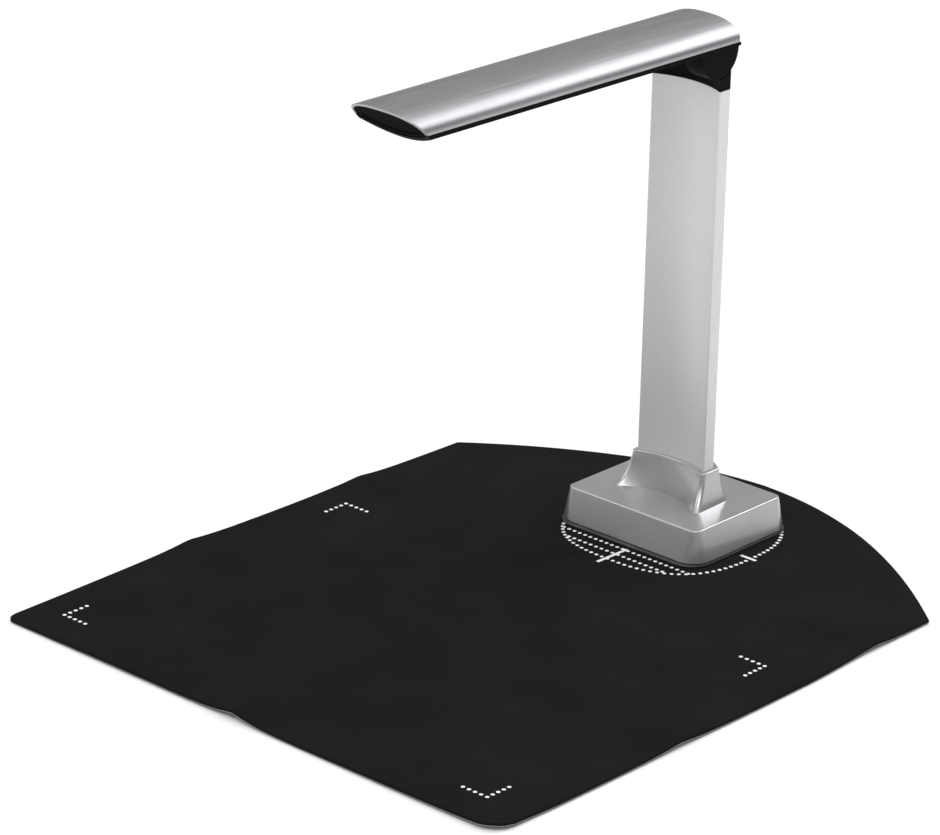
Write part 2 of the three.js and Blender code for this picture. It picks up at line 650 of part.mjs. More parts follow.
function armBottomShell() {
  const topZ = arm.seamZ - 0.2;
  const about = (radius, x0, x1, segments = 40) => rod('x', radius, x0, x1, [0, 0], segments);
  const tray = cut(beam(bellyPoints(arm.bellyHalf, 0, topZ), armFrontY, armBackY), beyondTip(), beyondRear());
  const drum = cut(about(knuckle.radius, -knuckle.halfWidth, knuckle.halfWidth, 48),
    box(-30, 30, -30, 30, topZ, 30));
  const bead = rod('x', 1, -arm.bellyHalf, arm.bellyHalf, [arm.rearY + 0.5, topZ - 1.1], 12);
  const inside = beam(bellyPoints(arm.bellyHalf - arm.bellyWall, arm.bellyWall, topZ + 1),
    armFrontY - 1, arm.rearY - arm.bellyWall);
  let shell = cut(join(tray, drum, bead), inside);
  for (const sx of [-1, 1]) {
    const hollow = [sx * ear.plateX, sx * (knuckle.halfWidth - knuckle.wall)].sort((a, b) => a - b);
    shell = cut(shell, about(knuckle.radius - knuckle.wall, ...hollow));
  }
  for (const sx of [-1, 1]) {
    const span = [sx * ear.innerX, sx * ear.outerX].sort((a, b) => a - b);
    const plateSpan = [sx * ear.innerX, sx * ear.plateX].sort((a, b) => a - b);
    const cheek = cut(about(knuckle.radius - 0.5, ...plateSpan), box(-30, 30, -30, 30, topZ, 30));
    shell = join(shell, cheek, about(ear.bossRadius, ...span, 32));
  }
  const slot = box(-ear.innerX, ear.innerX, ear.slotFrontY, arm.rearY - arm.bellyWall, -20, 20);
  const bore = about(shaft.radius + shaft.clearance, -20, 20, 32);
  const window = slab(roundedRectangle(bezel.half + gap, (bezel.backY - bezel.frontY) / 2 + gap,
    bezel.cornerRadius + gap, 4, 0, (bezel.backY + bezel.frontY) / 2), -20, 20);
  shell = cut(shell, slot, bore, window.subtract(box(-30, 30, -300, 0, bezel.topZ + 8, 30)));
  for (const y of armBoss.ys) {
    for (const sx of [-1, 1]) {
      const centre = [sx * armBoss.x, y];
      const boss = rod('z', armBoss.radius, -4, topZ, centre, 12);
      const within = beam(bellyPoints(arm.bellyHalf - 0.3, 0.3, topZ), armFrontY, armBackY);
      const hole = rod('z', 1.5, -10, 10, centre, 10);
      const seat = rod('z', 2.9, -10, armScrewSeatZ, centre, 16);
      shell = cut(join(shell, boss.intersect(within)), hole, seat);
    }
  }
  return shell;
}

place('arm_bottom_shell', armBottomShell(), 'blackPlastic', armGroup);

for (const [i, y] of armBoss.ys.entries()) {
  for (const [side, sx] of [['left', -1], ['right', 1]]) {
    const end = i === 0 ? 'front' : 'rear';
    const fixing = screw(sx * armBoss.x, y, armScrewSeatZ, 6, 1, 2.5, 0.95);
    place(`arm_screw_${end}_${side}`, fixing, 'zincSteel', armGroup);
  }
}

// The room inside both shells together, less the gap.
function armInside(fromY, toY) {
  const clear = arm.bellyWall + gap;
  return join(
    beam(archPoints(arm.halfWidth - clear, arm.crown - clear), fromY, toY),
    beam(bellyPoints(arm.bellyHalf - clear, clear, arm.seamZ + 0.01), fromY, toY),
  );
}

function tipCap() {
  const inside = armInside(armFrontY, arm.tipY + 30);
  const face = arm.capRecess;
  const plug = cut(inside, beyondTip(face)).intersect(beyondTip(face + arm.capThickness * Math.SQRT2));
  const panel = inside.translate([0, 0, -tipPanel.centreZ])
    .scale([tipPanel.scaleX, 1, tipPanel.scaleZ])
    .translate([0, 0, tipPanel.centreZ]);
  return cut(plug, panel.intersect(beyondTip(face + tipPanel.depth)));
}

place('arm_tip_cap', tipCap(), 'blackPlastic', armGroup);

function rearCap() {
  const clear = arm.wall + gap;
  const plug = beam(archPoints(arm.halfWidth - clear, arm.crown - clear), 0, armBackY);
  const block = cut(plug, beyondRear(0.5), box(-30, 30, -5, 30, 0, arm.seamZ + 0.3));
  return block.intersect(beyondRear(2.3));
}

place('arm_rear_cap', rearCap(), 'blackPlastic', armGroup);

// ---------------------------------------------------------------- camera and lamps

const bezelMidY = (bezel.backY + bezel.frontY) / 2;

function cameraBezel() {
  const halfLength = (bezel.backY - bezel.frontY) / 2;
  const outline = roundedRectangle(bezel.half, halfLength, bezel.cornerRadius, 4, 0, bezelMidY);
  const sheet = slab(outline, bezel.bottomZ, bezel.topZ);
  const lensHole = rod('z', lens.holeRadius, -10, 10, [0, lens.y], 32);
  const ledSlots = [-1, 1].map((sx) => slab(ledOutline(sx, gap), -10, 10));
  return cut(sheet, lensHole, ...ledSlots);
}

function ledOutline(sx, grow) {
  return roundedRectangle(led.halfX + grow, (led.backY - led.frontY) / 2 + grow, led.halfX + grow - 0.05, 4,
    sx * led.x, (led.backY + led.frontY) / 2);
}

place('camera_bezel', cameraBezel(), 'glossBlack', armGroup);

for (const [side, sx] of [['left', -1], ['right', 1]]) {
  const diffuser = slab(ledOutline(sx, 0), bezel.bottomZ + 0.1, bezel.topZ - 0.1);
  place(`led_diffuser_${side}`, diffuser, 'diffuser', armGroup);
  const strip = box(sx * led.x - 3.4, sx * led.x + 3.4, led.frontY - 1, led.backY + 1, 0.8, 1.8);
  const chips = Array.from({ length: led.count }, (_, i) => {
    const y = led.frontY + 3 + i * (led.backY - led.frontY - 6) / (led.count - 1);
    return box(sx * led.x - 1.4, sx * led.x + 1.4, y - 1.4, y + 1.4, 0, 1);
  });
  place(`led_board_${side}`, join(strip, ...chips), 'circuitBoard', armGroup);
}

const cameraBoard = join(
  box(-15, 15, bezel.frontY + 2, -174, 5.2, 6.4),
  box(-5, 5, -190, -182, 6.2, 7.6),
  box(6, 10, -188, -184, 6.2, 7.2),
);
place('camera_board', cameraBoard, 'circuitBoard', armGroup);

const lensHolder = cut(
  join(
    box(-8, 8, lens.y - 8, lens.y + 8, 2.4, 5),
    rod('z', 7.8, 0.4, 2.8, [0, lens.y], 28),
  ),
  rod('z', lens.barrelRadius + 0.15, -5, 3.6, [0, lens.y], 28),
  rod('z', 3.6, 3, 6, [0, lens.y], 16),
);
place('lens_holder', lensHolder, 'blackPlastic', armGroup);

const lensBarrel = cut(
  rod('z', lens.barrelRadius, lens.bottomZ, 3.4, [0, lens.y], 28),
  rod('z', 4.9, lens.bottomZ - 1, lens.bottomZ + 1.6, [0, lens.y], 28, 4.2),
  rod('z', 3, lens.bottomZ, 5, [0, lens.y], 16),
);
place('lens_barrel', lensBarrel, 'blackPlastic', armGroup);

function lensGlass() {
  const edgeRadius = 4;
  const sagitta = 1;
  const sphereRadius = (edgeRadius ** 2 + sagitta ** 2) / (2 * sagitta);
  const sweep = Math.asin(edgeRadius / sphereRadius);
  const dome = Array.from({ length: 5 }, (_, i) => {
    const angle = sweep * i / 4;
    return new THREE.Vector2(sphereRadius * Math.sin(angle), sphereRadius - sphereRadius * Math.cos(angle));
  });
  const rim = [new THREE.Vector2(edgeRadius, sagitta + 0.3), new THREE.Vector2(0, sagitta + 0.3)];
  const profile = [...dome, ...rim];
  const geometry = new THREE.LatheGeometry(profile, 24);
  geometry.rotateX(Math.PI / 2);
  geometry.translate(0, lens.y, lens.bottomZ + 0.2);
  return solid(geometry);
}

place('lens_glass', lensGlass(), 'glass', armGroup);

place('arm_cable', cord(cableRoute.arm, cableRoute.radius, 36), 'cable', armGroup);

export default scanner;
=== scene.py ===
import json
import math

import bmesh
import bpy
import numpy as np
from mathutils import Matrix, Vector


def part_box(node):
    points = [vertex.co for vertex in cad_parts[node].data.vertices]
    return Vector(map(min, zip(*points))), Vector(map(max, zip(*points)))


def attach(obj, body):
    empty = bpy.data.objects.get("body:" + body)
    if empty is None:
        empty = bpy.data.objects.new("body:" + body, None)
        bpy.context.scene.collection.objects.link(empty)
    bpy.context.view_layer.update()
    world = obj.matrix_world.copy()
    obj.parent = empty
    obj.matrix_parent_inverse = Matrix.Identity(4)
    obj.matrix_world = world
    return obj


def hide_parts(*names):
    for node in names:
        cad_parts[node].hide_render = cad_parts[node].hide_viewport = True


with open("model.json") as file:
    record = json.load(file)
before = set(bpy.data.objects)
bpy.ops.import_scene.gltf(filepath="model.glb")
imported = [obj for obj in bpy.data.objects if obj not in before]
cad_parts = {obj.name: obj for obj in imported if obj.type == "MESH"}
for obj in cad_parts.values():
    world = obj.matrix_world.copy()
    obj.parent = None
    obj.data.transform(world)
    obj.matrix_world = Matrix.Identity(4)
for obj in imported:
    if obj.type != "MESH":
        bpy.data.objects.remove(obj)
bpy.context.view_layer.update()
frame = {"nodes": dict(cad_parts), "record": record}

# ---------------------------------------------------------------- driving dimensions, in millimetres

MM = 0.001
# The clearance round pieces that fit into one another.
GAP = 0.3

MAT_LOW, MAT_HIGH = (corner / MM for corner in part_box("positioning_mat"))
COLUMN_LOW, COLUMN_HIGH = (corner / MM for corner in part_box("column"))

MAT_THICKNESS = 2.0
MAT_EDGE = 0.35
BACKING_THICKNESS = 0.6
MAT_BACK_RADIUS = 225.0
MAT_BACK_CENTRE = Vector((5.0, -148.0))
MAT_BACK_HALF = 172.0
MAT_BACK_REACH = 175.0
MAT_FRONT_RADII = (6.0, 13.0)
MAT_GRID = (120, 140)
GRID_CROWDING = 0.6

# The mat's folds stand at a rest height, and rise towards its edges over a fade distance. The rear
# fold slants: its Y at the left side, and how far that has turned at the right side.
FRONT_Y = MAT_LOW.y
CENTRE_FOLD = {"x": 2.0, "width": 12, "rest": 0.35, "rise": 2.9, "fade": 30}
REAR_FOLD = {"left_y": -77, "turn": 30, "width": 13}
FRONT_FOLD = {"y": -207, "width": 14}
CROSS_FOLDS = {"rest": 0.3, "rise": 1.5, "fade": 35}
CORNER_CURL = {"rise": 2.2, "fade": 22}
WAVES = {"height": 0.25, "length": (31, 43), "start": (0.8, 0.4)}
# It lies flat under the base, and reaches its full lift between these distances from that flat part.
FLAT_HALF = (56, 46)
FLAT_FADE = (2, 40)

# The side edges wander a little: X at each Y along them.
EDGE_Y = (-341.0, -300.0, -207.0, -150.0, -100.0, -62.0, 0.0)
LEFT_EDGE_X = (-164.5, -165.0, -166.5, -166.0, -165.8, -164.5, -162.5)
RIGHT_EDGE_X = (179.0, 180.0, 180.0, 180.0, 179.5, 177.5, 177.0)

DOT_RADIUS = 1.12
DOT_PITCH = 3.93
INK_HEIGHT = 0.1
GUIDE_CENTRE = Vector((5.2, -6.8))
GUIDE_HALF = 55.2
GUIDE_POWER = 2.6
GUIDE_LINES = (((-39, -46), (49.5, -46)), ((-28.5, -53.8), (38, -53.8)))
TICK_WIDTH = 2.0
SIDE_TICK = (48.3, 59.0)
END_TICK = (37.5, 62.5)
PAGE_CENTRE = Vector((3.8, -212.8))
PAGE_HALF = Vector((148.5, 105.0))
CORNER_DOTS = 5

BASE = {
    "bottom": 3.9, "top": 21.7, "wall": 2.2,
    "bottom_half": (50.3, 41.3), "top_half": (46.0, 36.2),
    "bottom_radius": 12.0, "top_radius": 4.0, "edge_radius": 0.6, "lip": 0.45,
}
NECK = {"top": 40.8, "flare_power": 1.6, "flare_share": 0.93, "middle_power": 1.15, "rim_edge": 0.7}
NECK_RIM = {
    "front_half": 25.9, "back_half": 25.9, "front_ridge": 2.2, "back_ridge": 0.9,
    "front_corner": -8.2, "front_mid": -1.6, "back_corner": 5.8, "back_mid": 15.6,
}
NECK_FOOT = {
    "front_half": 30.0, "back_half": 29.0, "front_ridge": 2.4, "back_ridge": 0.8,
    "front_corner": -19.7, "front_mid": -7.0, "back_corner": 9.6, "back_mid": 21.5,
}
COLUMN_PLAN = {
    "front_half": 23.6, "back_half": 23.6,
    "front_corner": -5.0, "front_mid": 1.0, "back_corner": 3.6, "back_mid": 13.0,
}
COLUMN_WALL = 1.8
COLUMN_CORNER = 0.7
COLUMN_INNER_CORNER = 0.3
COLUMN_EDGE = 0.35

USB = {"x": 14.0, "half": 4.5, "bottom": 14.1, "top": 17.4}
BUTTON = {"x": -14.0, "z": 15.2, "radius": 3.4}
# The holes for both are cut from inside the base's rear wall to outside it.
WALL_CUT_Y = (30.0, 42.0)

PIVOT = Vector((0.0, -5.6, 278.0))
ARM_RISE = 0.72
ARM = {
    "seam": 3.3, "half": 24.8, "crown": 10.6, "power": 2.36, "wall": 1.5, "end_edge": 0.7,
    "tip": -224.8, "tip_slope": 1.0, "rear": 14.2, "rear_slope": 0.14,
}
ARM_RING_PITCH = 12
ARM_RINGS_END = 228

# The camera's place is in metres, and its angles are in degrees.
CAMERA = {
    "azimuth": 42.099, "elevation": 21.939, "roll": 1.327, "lens": 171.76,
    "place": (1.42999, -1.75041, 0.97118),
}

# ---------------------------------------------------------------- mesh helpers


def smooth_by_angle():
    """A node group that shades every edge smooth but those that turn by more than 40 degrees."""
    group = bpy.data.node_groups.new("smooth_by_angle", "GeometryNodeTree")
    group.interface.new_socket("Geometry", in_out="INPUT", socket_type="NodeSocketGeometry")
    group.interface.new_socket("Geometry", in_out="OUTPUT", socket_type="NodeSocketGeometry")
    start = group.nodes.new("NodeGroupInput")
    end = group.nodes.new("NodeGroupOutput")
    faces = group.nodes.new("GeometryNodeSetShadeSmooth")
    edges = group.nodes.new("GeometryNodeSetShadeSmooth")
    edges.domain = "EDGE"
    angle = group.nodes.new("GeometryNodeInputMeshEdgeAngle")
    limit = group.nodes.new("FunctionNodeCompare")
    limit.operation = "LESS_EQUAL"
    limit.inputs["B"].default_value = math.radians(40)
    link = group.links.new
    link(start.outputs[0], faces.inputs["Geometry"])
    link(faces.outputs[0], edges.inputs["Geometry"])
    link(angle.outputs["Unsigned Angle"], limit.inputs["A"])
    link(limit.outputs[0], edges.inputs["Shade Smooth"])
    link(edges.outputs[0], end.inputs[0])
    return group


SMOOTH = smooth_by_angle()


def round_edges(piece, width, segments=2, angle=30):
    """Rounds the edges that turn by more than an angle, and keeps flat faces looking flat."""
    if width:
        bevel = piece.modifiers.new("edge_rounding", "BEVEL")
        bevel.width = width * MM
        bevel.segments = segments
        bevel.limit_method = "ANGLE"
        bevel.angle_limit = math.radians(angle)
    shade = piece.modifiers.new("shading", "NODES")
    shade.node_group = SMOOTH
    normals = piece.modifiers.new("flat_faces", "WEIGHTED_NORMAL")
    normals.keep_sharp = True
    normals.weight = 60


def refine_node(name, material, width):
    """A CAD node keeps its shape: its triangles are joined into faces, and its edges are rounded."""
    node = frame["nodes"][name]
    weld = node.modifiers.new("weld", "WELD")
    weld.merge_threshold = 0.002 * MM
    planes = node.modifiers.new("planes", "DECIMATE")
    planes.decimate_type = "DISSOLVE"
    planes.angle_limit = math.radians(1)
    round_edges(node, width)
    node.data.materials.clear()
    node.data.materials.append(material)


class Builder:
    """Collects rings and faces in millimetres, and makes them into one piece in metres."""

    def __init__(self):
        self.mesh = bmesh.new()

    def ring(self, points):
        return [self.mesh.verts.new(Vector(point) * MM) for point in points]

    def strip(self, lower, upper, closed=True, material=0):
        """Quads between two rings of the same length."""
        count = len(lower)
        for i in range(count if closed else count - 1):
            j = (i + 1) % count
            face = self.mesh.faces.new((lower[i], lower[j], upper[j], upper[i]))
            face.material_index = material

    def loft(self, rings):
        made = [self.ring(points) for points in rings]
        for lower, upper in zip(made, made[1:]):
            self.strip(lower, upper)
        return made

    def cap(self, ring):
        self.mesh.faces.new(ring)

    def fill(self, *rings):
        """A flat face between an outer ring and the rings inside it."""
        edges = []
        for ring in rings:
            for i, vertex in enumerate(ring):
                after = ring[(i + 1) % len(ring)]
                edge = self.mesh.edges.get((vertex, after)) or self.mesh.edges.new((vertex, after))
                edges.append(edge)
        bmesh.ops.triangle_fill(self.mesh, edges=edges, use_beauty=True)

    def piece(self, name, materials, place=None):
        bmesh.ops.recalc_face_normals(self.mesh, faces=self.mesh.faces)
        data = bpy.data.meshes.new(name)
        self.mesh.to_mesh(data)
        self.mesh.free()
        if place is not None:
            data.transform(place)
        data.shade_smooth()
        made = bpy.data.objects.new(name, data)
        bpy.context.scene.collection.objects.link(made)
        for material in materials:
            data.materials.append(material)
        return made


def carve(piece, *cutters):
    """Cuts closed shapes out of a piece, and removes the cutters."""
    for cutter in cutters:
        cut = piece.modifiers.new("cut", "BOOLEAN")
        cut.operation = "DIFFERENCE"
        cut.solver = "EXACT"
        cut.object = cutter
    graph = bpy.context.evaluated_depsgraph_get()
    result = bpy.data.meshes.new_from_object(piece.evaluated_get(graph))
    piece.modifiers.clear()
    piece.data = result
    for cutter in cutters:
        bpy.data.objects.remove(cutter)


def flat_ring(points, z):
    return [(x, y, z) for x, y in points]


# ---------------------------------------------------------------- outlines


def arc(centre, radius, start, end, steps):
    angles = [start + (end - start) * i / steps for i in range(steps + 1)]
    return [(centre[0] + radius * math.cos(a), centre[1] + radius * math.sin(a)) for a in angles]


def quarter_round(radius, steps=5):
    """Points round a quarter circle: how far each has come from one side, and has left to the other."""
    turns = [math.pi / 2 * i / steps for i in range(steps + 1)]
    return [(radius * (1 - math.cos(turn)), radius * (1 - math.sin(turn))) for turn in turns]


def rounded_rectangle(half_x, half_y, radius, steps=8, centre=(0, 0)):
    points = []
    for i, (side_x, side_y) in enumerate([(1, -1), (1, 1), (-1, 1), (-1, -1)]):
        corner = (centre[0] + side_x * (half_x - radius), centre[1] + side_y * (half_y - radius))
        points += arc(corner, radius, (i - 1) * math.pi / 2, i * math.pi / 2, steps)
    return points


def shield_outline(plan, inset, front_corner, back_corner, steps=28, corner_steps=5):
    """Hollow in front, straight sides, rounded back, with rounded corners."""
    front_rise = plan["front_mid"] - plan["front_corner"]
    back_rise = plan["back_mid"] - plan["back_corner"]
    front_radius = (plan["front_half"] ** 2 + front_rise ** 2) / (2 * front_rise)
    back_radius = (plan["back_half"] ** 2 + back_rise ** 2) / (2 * back_rise)
    front_centre = (0.0, plan["front_mid"] - front_radius)
    back_centre = (0.0, plan["back_mid"] - back_radius)
    front_in = inset + front_corner
    back_in = inset + back_corner
    front_turn = math.asin((plan["front_half"] - front_in) / (front_radius + front_in))
    back_turn = math.asin((plan["back_half"] - back_in) / (back_radius - back_in))
    up = math.pi / 2

    def front_point(side):
        reach = front_radius + front_in
        return (side * reach * math.sin(front_turn), front_centre[1] + reach * math.cos(front_turn))

    def back_point(side):
        reach = back_radius - back_in
        return (side * reach * math.sin(back_turn), back_centre[1] + reach * math.cos(back_turn))

    return [
        *arc(front_centre, front_radius + inset, up + front_turn, up - front_turn, steps),
        *arc(front_point(1), front_corner, -up - front_turn, 0, corner_steps)[1:],
        *arc(back_point(1), back_corner, 0, up - back_turn, corner_steps)[:-1],
        *arc(back_centre, back_radius - inset, up - back_turn, up + back_turn, steps),
        *arc(back_point(-1), back_corner, up + back_turn, math.pi, corner_steps)[1:],
        *arc(front_point(-1), front_corner, math.pi, 3 * up + front_turn, corner_steps)[:-1],
    ]


def neck_outline(drop, inset=0.0):
    """The neck's plan at a share of its height below the rim: its ridges spread near the base."""
    share, power = NECK["flare_share"], NECK["flare_power"]

    def flare(value):
        return 1 - (1 - (share * value) ** power) ** (1 / power)

    ridges = flare(drop) / flare(1)
    spread = {key: ridges for key in NECK_RIM}
    spread["front_mid"] = spread["back_mid"] = drop ** NECK["middle_power"]
    plan = {key: NECK_RIM[key] + (NECK_FOOT[key] - NECK_RIM[key]) * spread[key] for key in NECK_RIM}
    return shield_outline(plan, inset, plan["front_ridge"], plan["back_ridge"])


def base_outline(z, inset=0.0):
    share = (z - BASE["bottom"]) / (BASE["top"] - BASE["bottom"])
    half_x, half_y = (low + (high - low) * share for low, high in zip(BASE["bottom_half"], BASE["top_half"]))
    radius = BASE["bottom_radius"] + (BASE["top_radius"] - BASE["bottom_radius"]) * share
    return flat_ring(rounded_rectangle(half_x - inset, half_y - inset, max(0.6, radius - inset)), z)


def arch(half_width, height, steps=96):
    """The section of the arm's upper shell, a flattened ellipse from its right edge to its left."""
    points = []
    for i in range(steps + 1):
        turn = math.pi * i / steps
        across = math.copysign(abs(math.cos(turn)) ** (2 / ARM["power"]), math.cos(turn))
        up = math.sin(turn) ** (2 / ARM["power"]) if 0 < i < steps else 0
        points.append((half_width * across, ARM["seam"] + height * up))
    return points


ARM_PLACE = Matrix.Translation(PIVOT * MM) @ Matrix.Rotation(math.radians(-ARM_RISE), 4, "X")

# ---------------------------------------------------------------- material helpers


class Material:
    """A Principled material with short calls for the nodes that feed it."""

    def __init__(self, name, color, roughness, metallic=0.0, **uniform):
        self.data = bpy.data.materials.new(name)
        self.data.use_nodes = True
        self.tree = self.data.node_tree
        self.shader = self.tree.nodes["Principled BSDF"]
        self.shader.inputs["Base Color"].default_value = (*color, 1)
        self.shader.inputs["Roughness"].default_value = roughness
        self.shader.inputs["Metallic"].default_value = metallic
        for key, value in uniform.items():
            self.shader.inputs[key.replace("_", " ")].default_value = value
        self.color = color
        self.roughness = roughness
        coordinates = self.tree.nodes.new("ShaderNodeTexCoord")
        self.position = coordinates.outputs["Object"]
        self.height = None

    def link(self, output, target):
        self.tree.links.new(output, target)

    def scaled(self, stretch):
        """Object coordinates, in millimetres, stretched along each axis."""
        mapping = self.tree.nodes.new("ShaderNodeMapping")
        mapping.inputs["Scale"].default_value = [1 / (size * MM) for size in stretch]
        self.link(self.position, mapping.inputs["Vector"])
        return mapping.outputs["Vector"]

    def noise(self, stretch, detail=2.0, roughness=0.5):
        node = self.tree.nodes.new("ShaderNodeTexNoise")
        node.inputs["Scale"].default_value = 1
        node.inputs["Detail"].default_value = detail
        node.inputs["Roughness"].default_value = roughness
        self.link(self.scaled(stretch), node.inputs["Vector"])
        return node.outputs["Fac"]

    def cells(self, stretch, feature="F1"):
        node = self.tree.nodes.new("ShaderNodeTexVoronoi")
        node.feature = feature
        node.inputs["Scale"].default_value = 1
        self.link(self.scaled(stretch), node.inputs["Vector"])
        return node.outputs["Distance"]

    def spread(self, value, low, high, from_low=0.3, from_high=0.7):
        node = self.tree.nodes.new("ShaderNodeMapRange")
        node.inputs["From Min"].default_value = from_low
        node.inputs["From Max"].default_value = from_high
        node.inputs["To Min"].default_value = low
        node.inputs["To Max"].default_value = high
        self.link(value, node.inputs["Value"])
        return node.outputs["Result"]

    def math(self, operation, first, second):
        node = self.tree.nodes.new("ShaderNodeMath")
        node.operation = operation
        for socket, value in zip(node.inputs, (first, second)):
            if isinstance(value, (int, float)):
                socket.default_value = value
            else:
                self.link(value, socket)
        return node.outputs[0]

    def tint(self, value, change):
        """Takes the colour from darker to lighter, by a share each way, as a texture rises."""
        ramp = self.tree.nodes.new("ShaderNodeMix")
        ramp.data_type = "RGBA"
        low = tuple(channel * (1 - change) for channel in self.color)
        high = tuple(min(1, channel * (1 + change)) for channel in self.color)
        ramp.inputs["A"].default_value = (*low, 1)
        ramp.inputs["B"].default_value = (*high, 1)
        self.link(value, ramp.inputs["Factor"])
        self.link(ramp.outputs["Result"], self.shader.inputs["Base Color"])

    def vary_roughness(self, value, change):
        wanted = self.spread(value, self.roughness - change, self.roughness + change)
        self.link(wanted, self.shader.inputs["Roughness"])

    def bump(self, value, depth, strength=1.0):
        """Raises the surface by a texture, by a depth in millimetres."""
        node = self.tree.nodes.new("ShaderNodeBump")
        node.inputs["Strength"].default_value = strength
        node.inputs["Distance"].default_value = depth * MM
        self.link(value, node.inputs["Height"])
        if self.height is not None:
            self.link(self.height, node.inputs["Normal"])
        self.height = node.outputs["Normal"]
        self.link(self.height, self.shader.inputs["Normal"])


# ---------------------------------------------------------------- materials


def mat_cloth():
    """Matt black jersey over foam: a fine knit, soft blotches and a little lint."""
    made = Material("mat_cloth", (0.0083, 0.0083, 0.0091), 0.9, Specular_IOR_Level=0.05, Sheen_Weight=0.01)
    knit = made.cells((0.55, 0.8, 0.8))
    blotches = made.noise((45, 45, 45), detail=4)
    lint = made.noise((1.4, 1.4, 1.4), detail=5, roughness=0.7)
    mixed = made.math("ADD", made.math("MULTIPLY", blotches, 0.6), made.math("MULTIPLY", lint, 0.4))
    made.tint(made.spread(mixed, 0, 1), 0.28)
    made.vary_roughness(lint, 0.06)
    made.bump(knit, 0.12, 0.6)
    made.bump(blotches, 0.5, 0.5)
    return made.data


def mat_backing():
    """Grey foam rubber under the cloth, with open pores."""
    made = Material("mat_backing", (0.22, 0.22, 0.23), 0.85)
    pores = made.cells((0.5, 0.5, 0.5))
    made.tint(pores, 0.25)
    made.bump(pores, 0.08)
    return made.data


def guide_ink():
    """White screen-printed ink that the knit shows through."""
    made = Material("guide_ink", (0.83, 0.83, 0.82), 0.6)
    knit = made.cells((0.55, 0.8, 0.8))
    wear = made.noise((3, 3, 3), detail=4)
    made.tint(made.spread(wear, 0, 1), 0.1)
    made.bump(knit, 0.06)
    return made.data


def silver_paint():
    """Glossy silver paint: fine flakes under a clear coat."""
    made = Material(
        "silver_paint", (0.44, 0.44, 0.45), 0.32, 0.85,
        Coat_Weight=0.9, Coat_Roughness=0.06, Coat_IOR=1.5,
    )
    flakes = made.cells((0.16, 0.16, 0.16))
    cloud = made.noise((18, 18, 18), detail=3)
    mixed = made.math("ADD", made.math("MULTIPLY", flakes, 0.75), made.math("MULTIPLY", cloud, 0.25))
    made.tint(made.spread(mixed, 0, 1, 0.15, 0.65), 0.16)
    made.vary_roughness(cloud, 0.04)
    made.bump(flakes, 0.012, 0.2)
    return made.data


def satin_aluminium():
    """Blasted and painted aluminium: a fine sparkling grain."""
    made = Material("satin_aluminium", (0.76, 0.76, 0.77), 0.5, 0.45)
    grain = made.cells((0.22, 0.22, 0.22))
    speckle = made.noise((0.35, 0.35, 0.35), detail=3, roughness=0.7)
    cloud = made.noise((30, 30, 60), detail=3)
    made.tint(made.spread(speckle, 0, 1), 0.14)
    made.vary_roughness(cloud, 0.05)
    made.bump(grain, 0.02, 0.5)
    return made.data


def brushed_aluminium():
    """Satin anodised aluminium, brushed along the arm."""
    made = Material("brushed_aluminium", (0.405, 0.405, 0.42), 0.37, 0.95)
    strokes = made.noise((0.18, 60, 0.18), detail=3, roughness=0.6)
    long_strokes = made.noise((1.1, 110, 1.1), detail=3)
    cloud = made.noise((9, 24, 9), detail=4)
    fine = made.math("ADD", made.math("MULTIPLY", strokes, 0.35), made.math("MULTIPLY", long_strokes, 0.35))
    mixed = made.math("ADD", fine, made.math("MULTIPLY", cloud, 0.3))
    made.tint(made.spread(mixed, 0, 1), 0.14)
    made.vary_roughness(long_strokes, 0.06)
    made.bump(strokes, 0.006, 0.5)
    return made.data


def black_plastic():
    """Satin moulded black plastic with a fine spark-eroded grain."""
    made = Material("black_plastic", (0.003, 0.003, 0.0034), 0.5, Specular_IOR_Level=0.04)
    grain = made.cells((0.35, 0.35, 0.35))
    cloud = made.noise((12, 12, 12), detail=4)
    made.tint(made.spread(cloud, 0, 1), 0.3)
    made.vary_roughness(cloud, 0.06)
    made.bump(grain, 0.02, 0.5)
    return made.data


def grey_plastic():
    """Dark grey moulded plastic with a fine spark-eroded grain."""
    made = Material("grey_plastic", (0.085, 0.085, 0.089), 0.5, Specular_IOR_Level=0.2)
    grain = made.cells((0.35, 0.35, 0.35))
    cloud = made.noise((12, 12, 12), detail=4)
    made.tint(made.spread(cloud, 0, 1), 0.25)
    made.vary_roughness(cloud, 0.06)
    made.bump(grain, 0.02, 0.5)
    return made.data


def matt_black():
    """Flat black acrylic that lets almost no light back."""
    made = Material("matt_black", (0.0065, 0.0065, 0.007), 0.75, Specular_IOR_Level=0.02)
    cloud = made.noise((5, 5, 5), detail=4)
    made.tint(made.spread(cloud, 0, 1), 0.35)
    made.vary_roughness(cloud, 0.08)
    made.bump(cloud, 0.02, 0.4)
    return made.data


def gloss_black():
    """Polished black acrylic with faint handling marks."""
    made = Material("gloss_black", (0.004, 0.004, 0.0048), 0.12, Coat_Weight=0.3, Coat_Roughness=0.04)
    smears = made.noise((9, 22, 9), detail=4)
    made.tint(made.spread(smears, 0, 1), 0.3)
    made.vary_roughness(smears, 0.05)
    made.bump(smears, 0.01, 0.4)
    return made.data


def foot_rubber():
    """Soft black rubber, a little dusty."""
    made = Material("foot_rubber", (0.018, 0.018, 0.018), 0.85)
    dust = made.noise((1.2, 1.2, 1.2), detail=5)
    made.tint(made.spread(dust, 0, 1), 0.4)
    made.vary_roughness(dust, 0.08)
    made.bump(dust, 0.04)
    return made.data


def steel():
    """Machined steel with turning marks."""
    made = Material("steel", (0.45, 0.45, 0.46), 0.34, 1.0)
    marks = made.noise((0.3, 0.3, 6), detail=3)
    made.tint(made.spread(marks, 0, 1), 0.12)
    made.vary_roughness(marks, 0.08)
    made.bump(marks, 0.01)
    return made.data


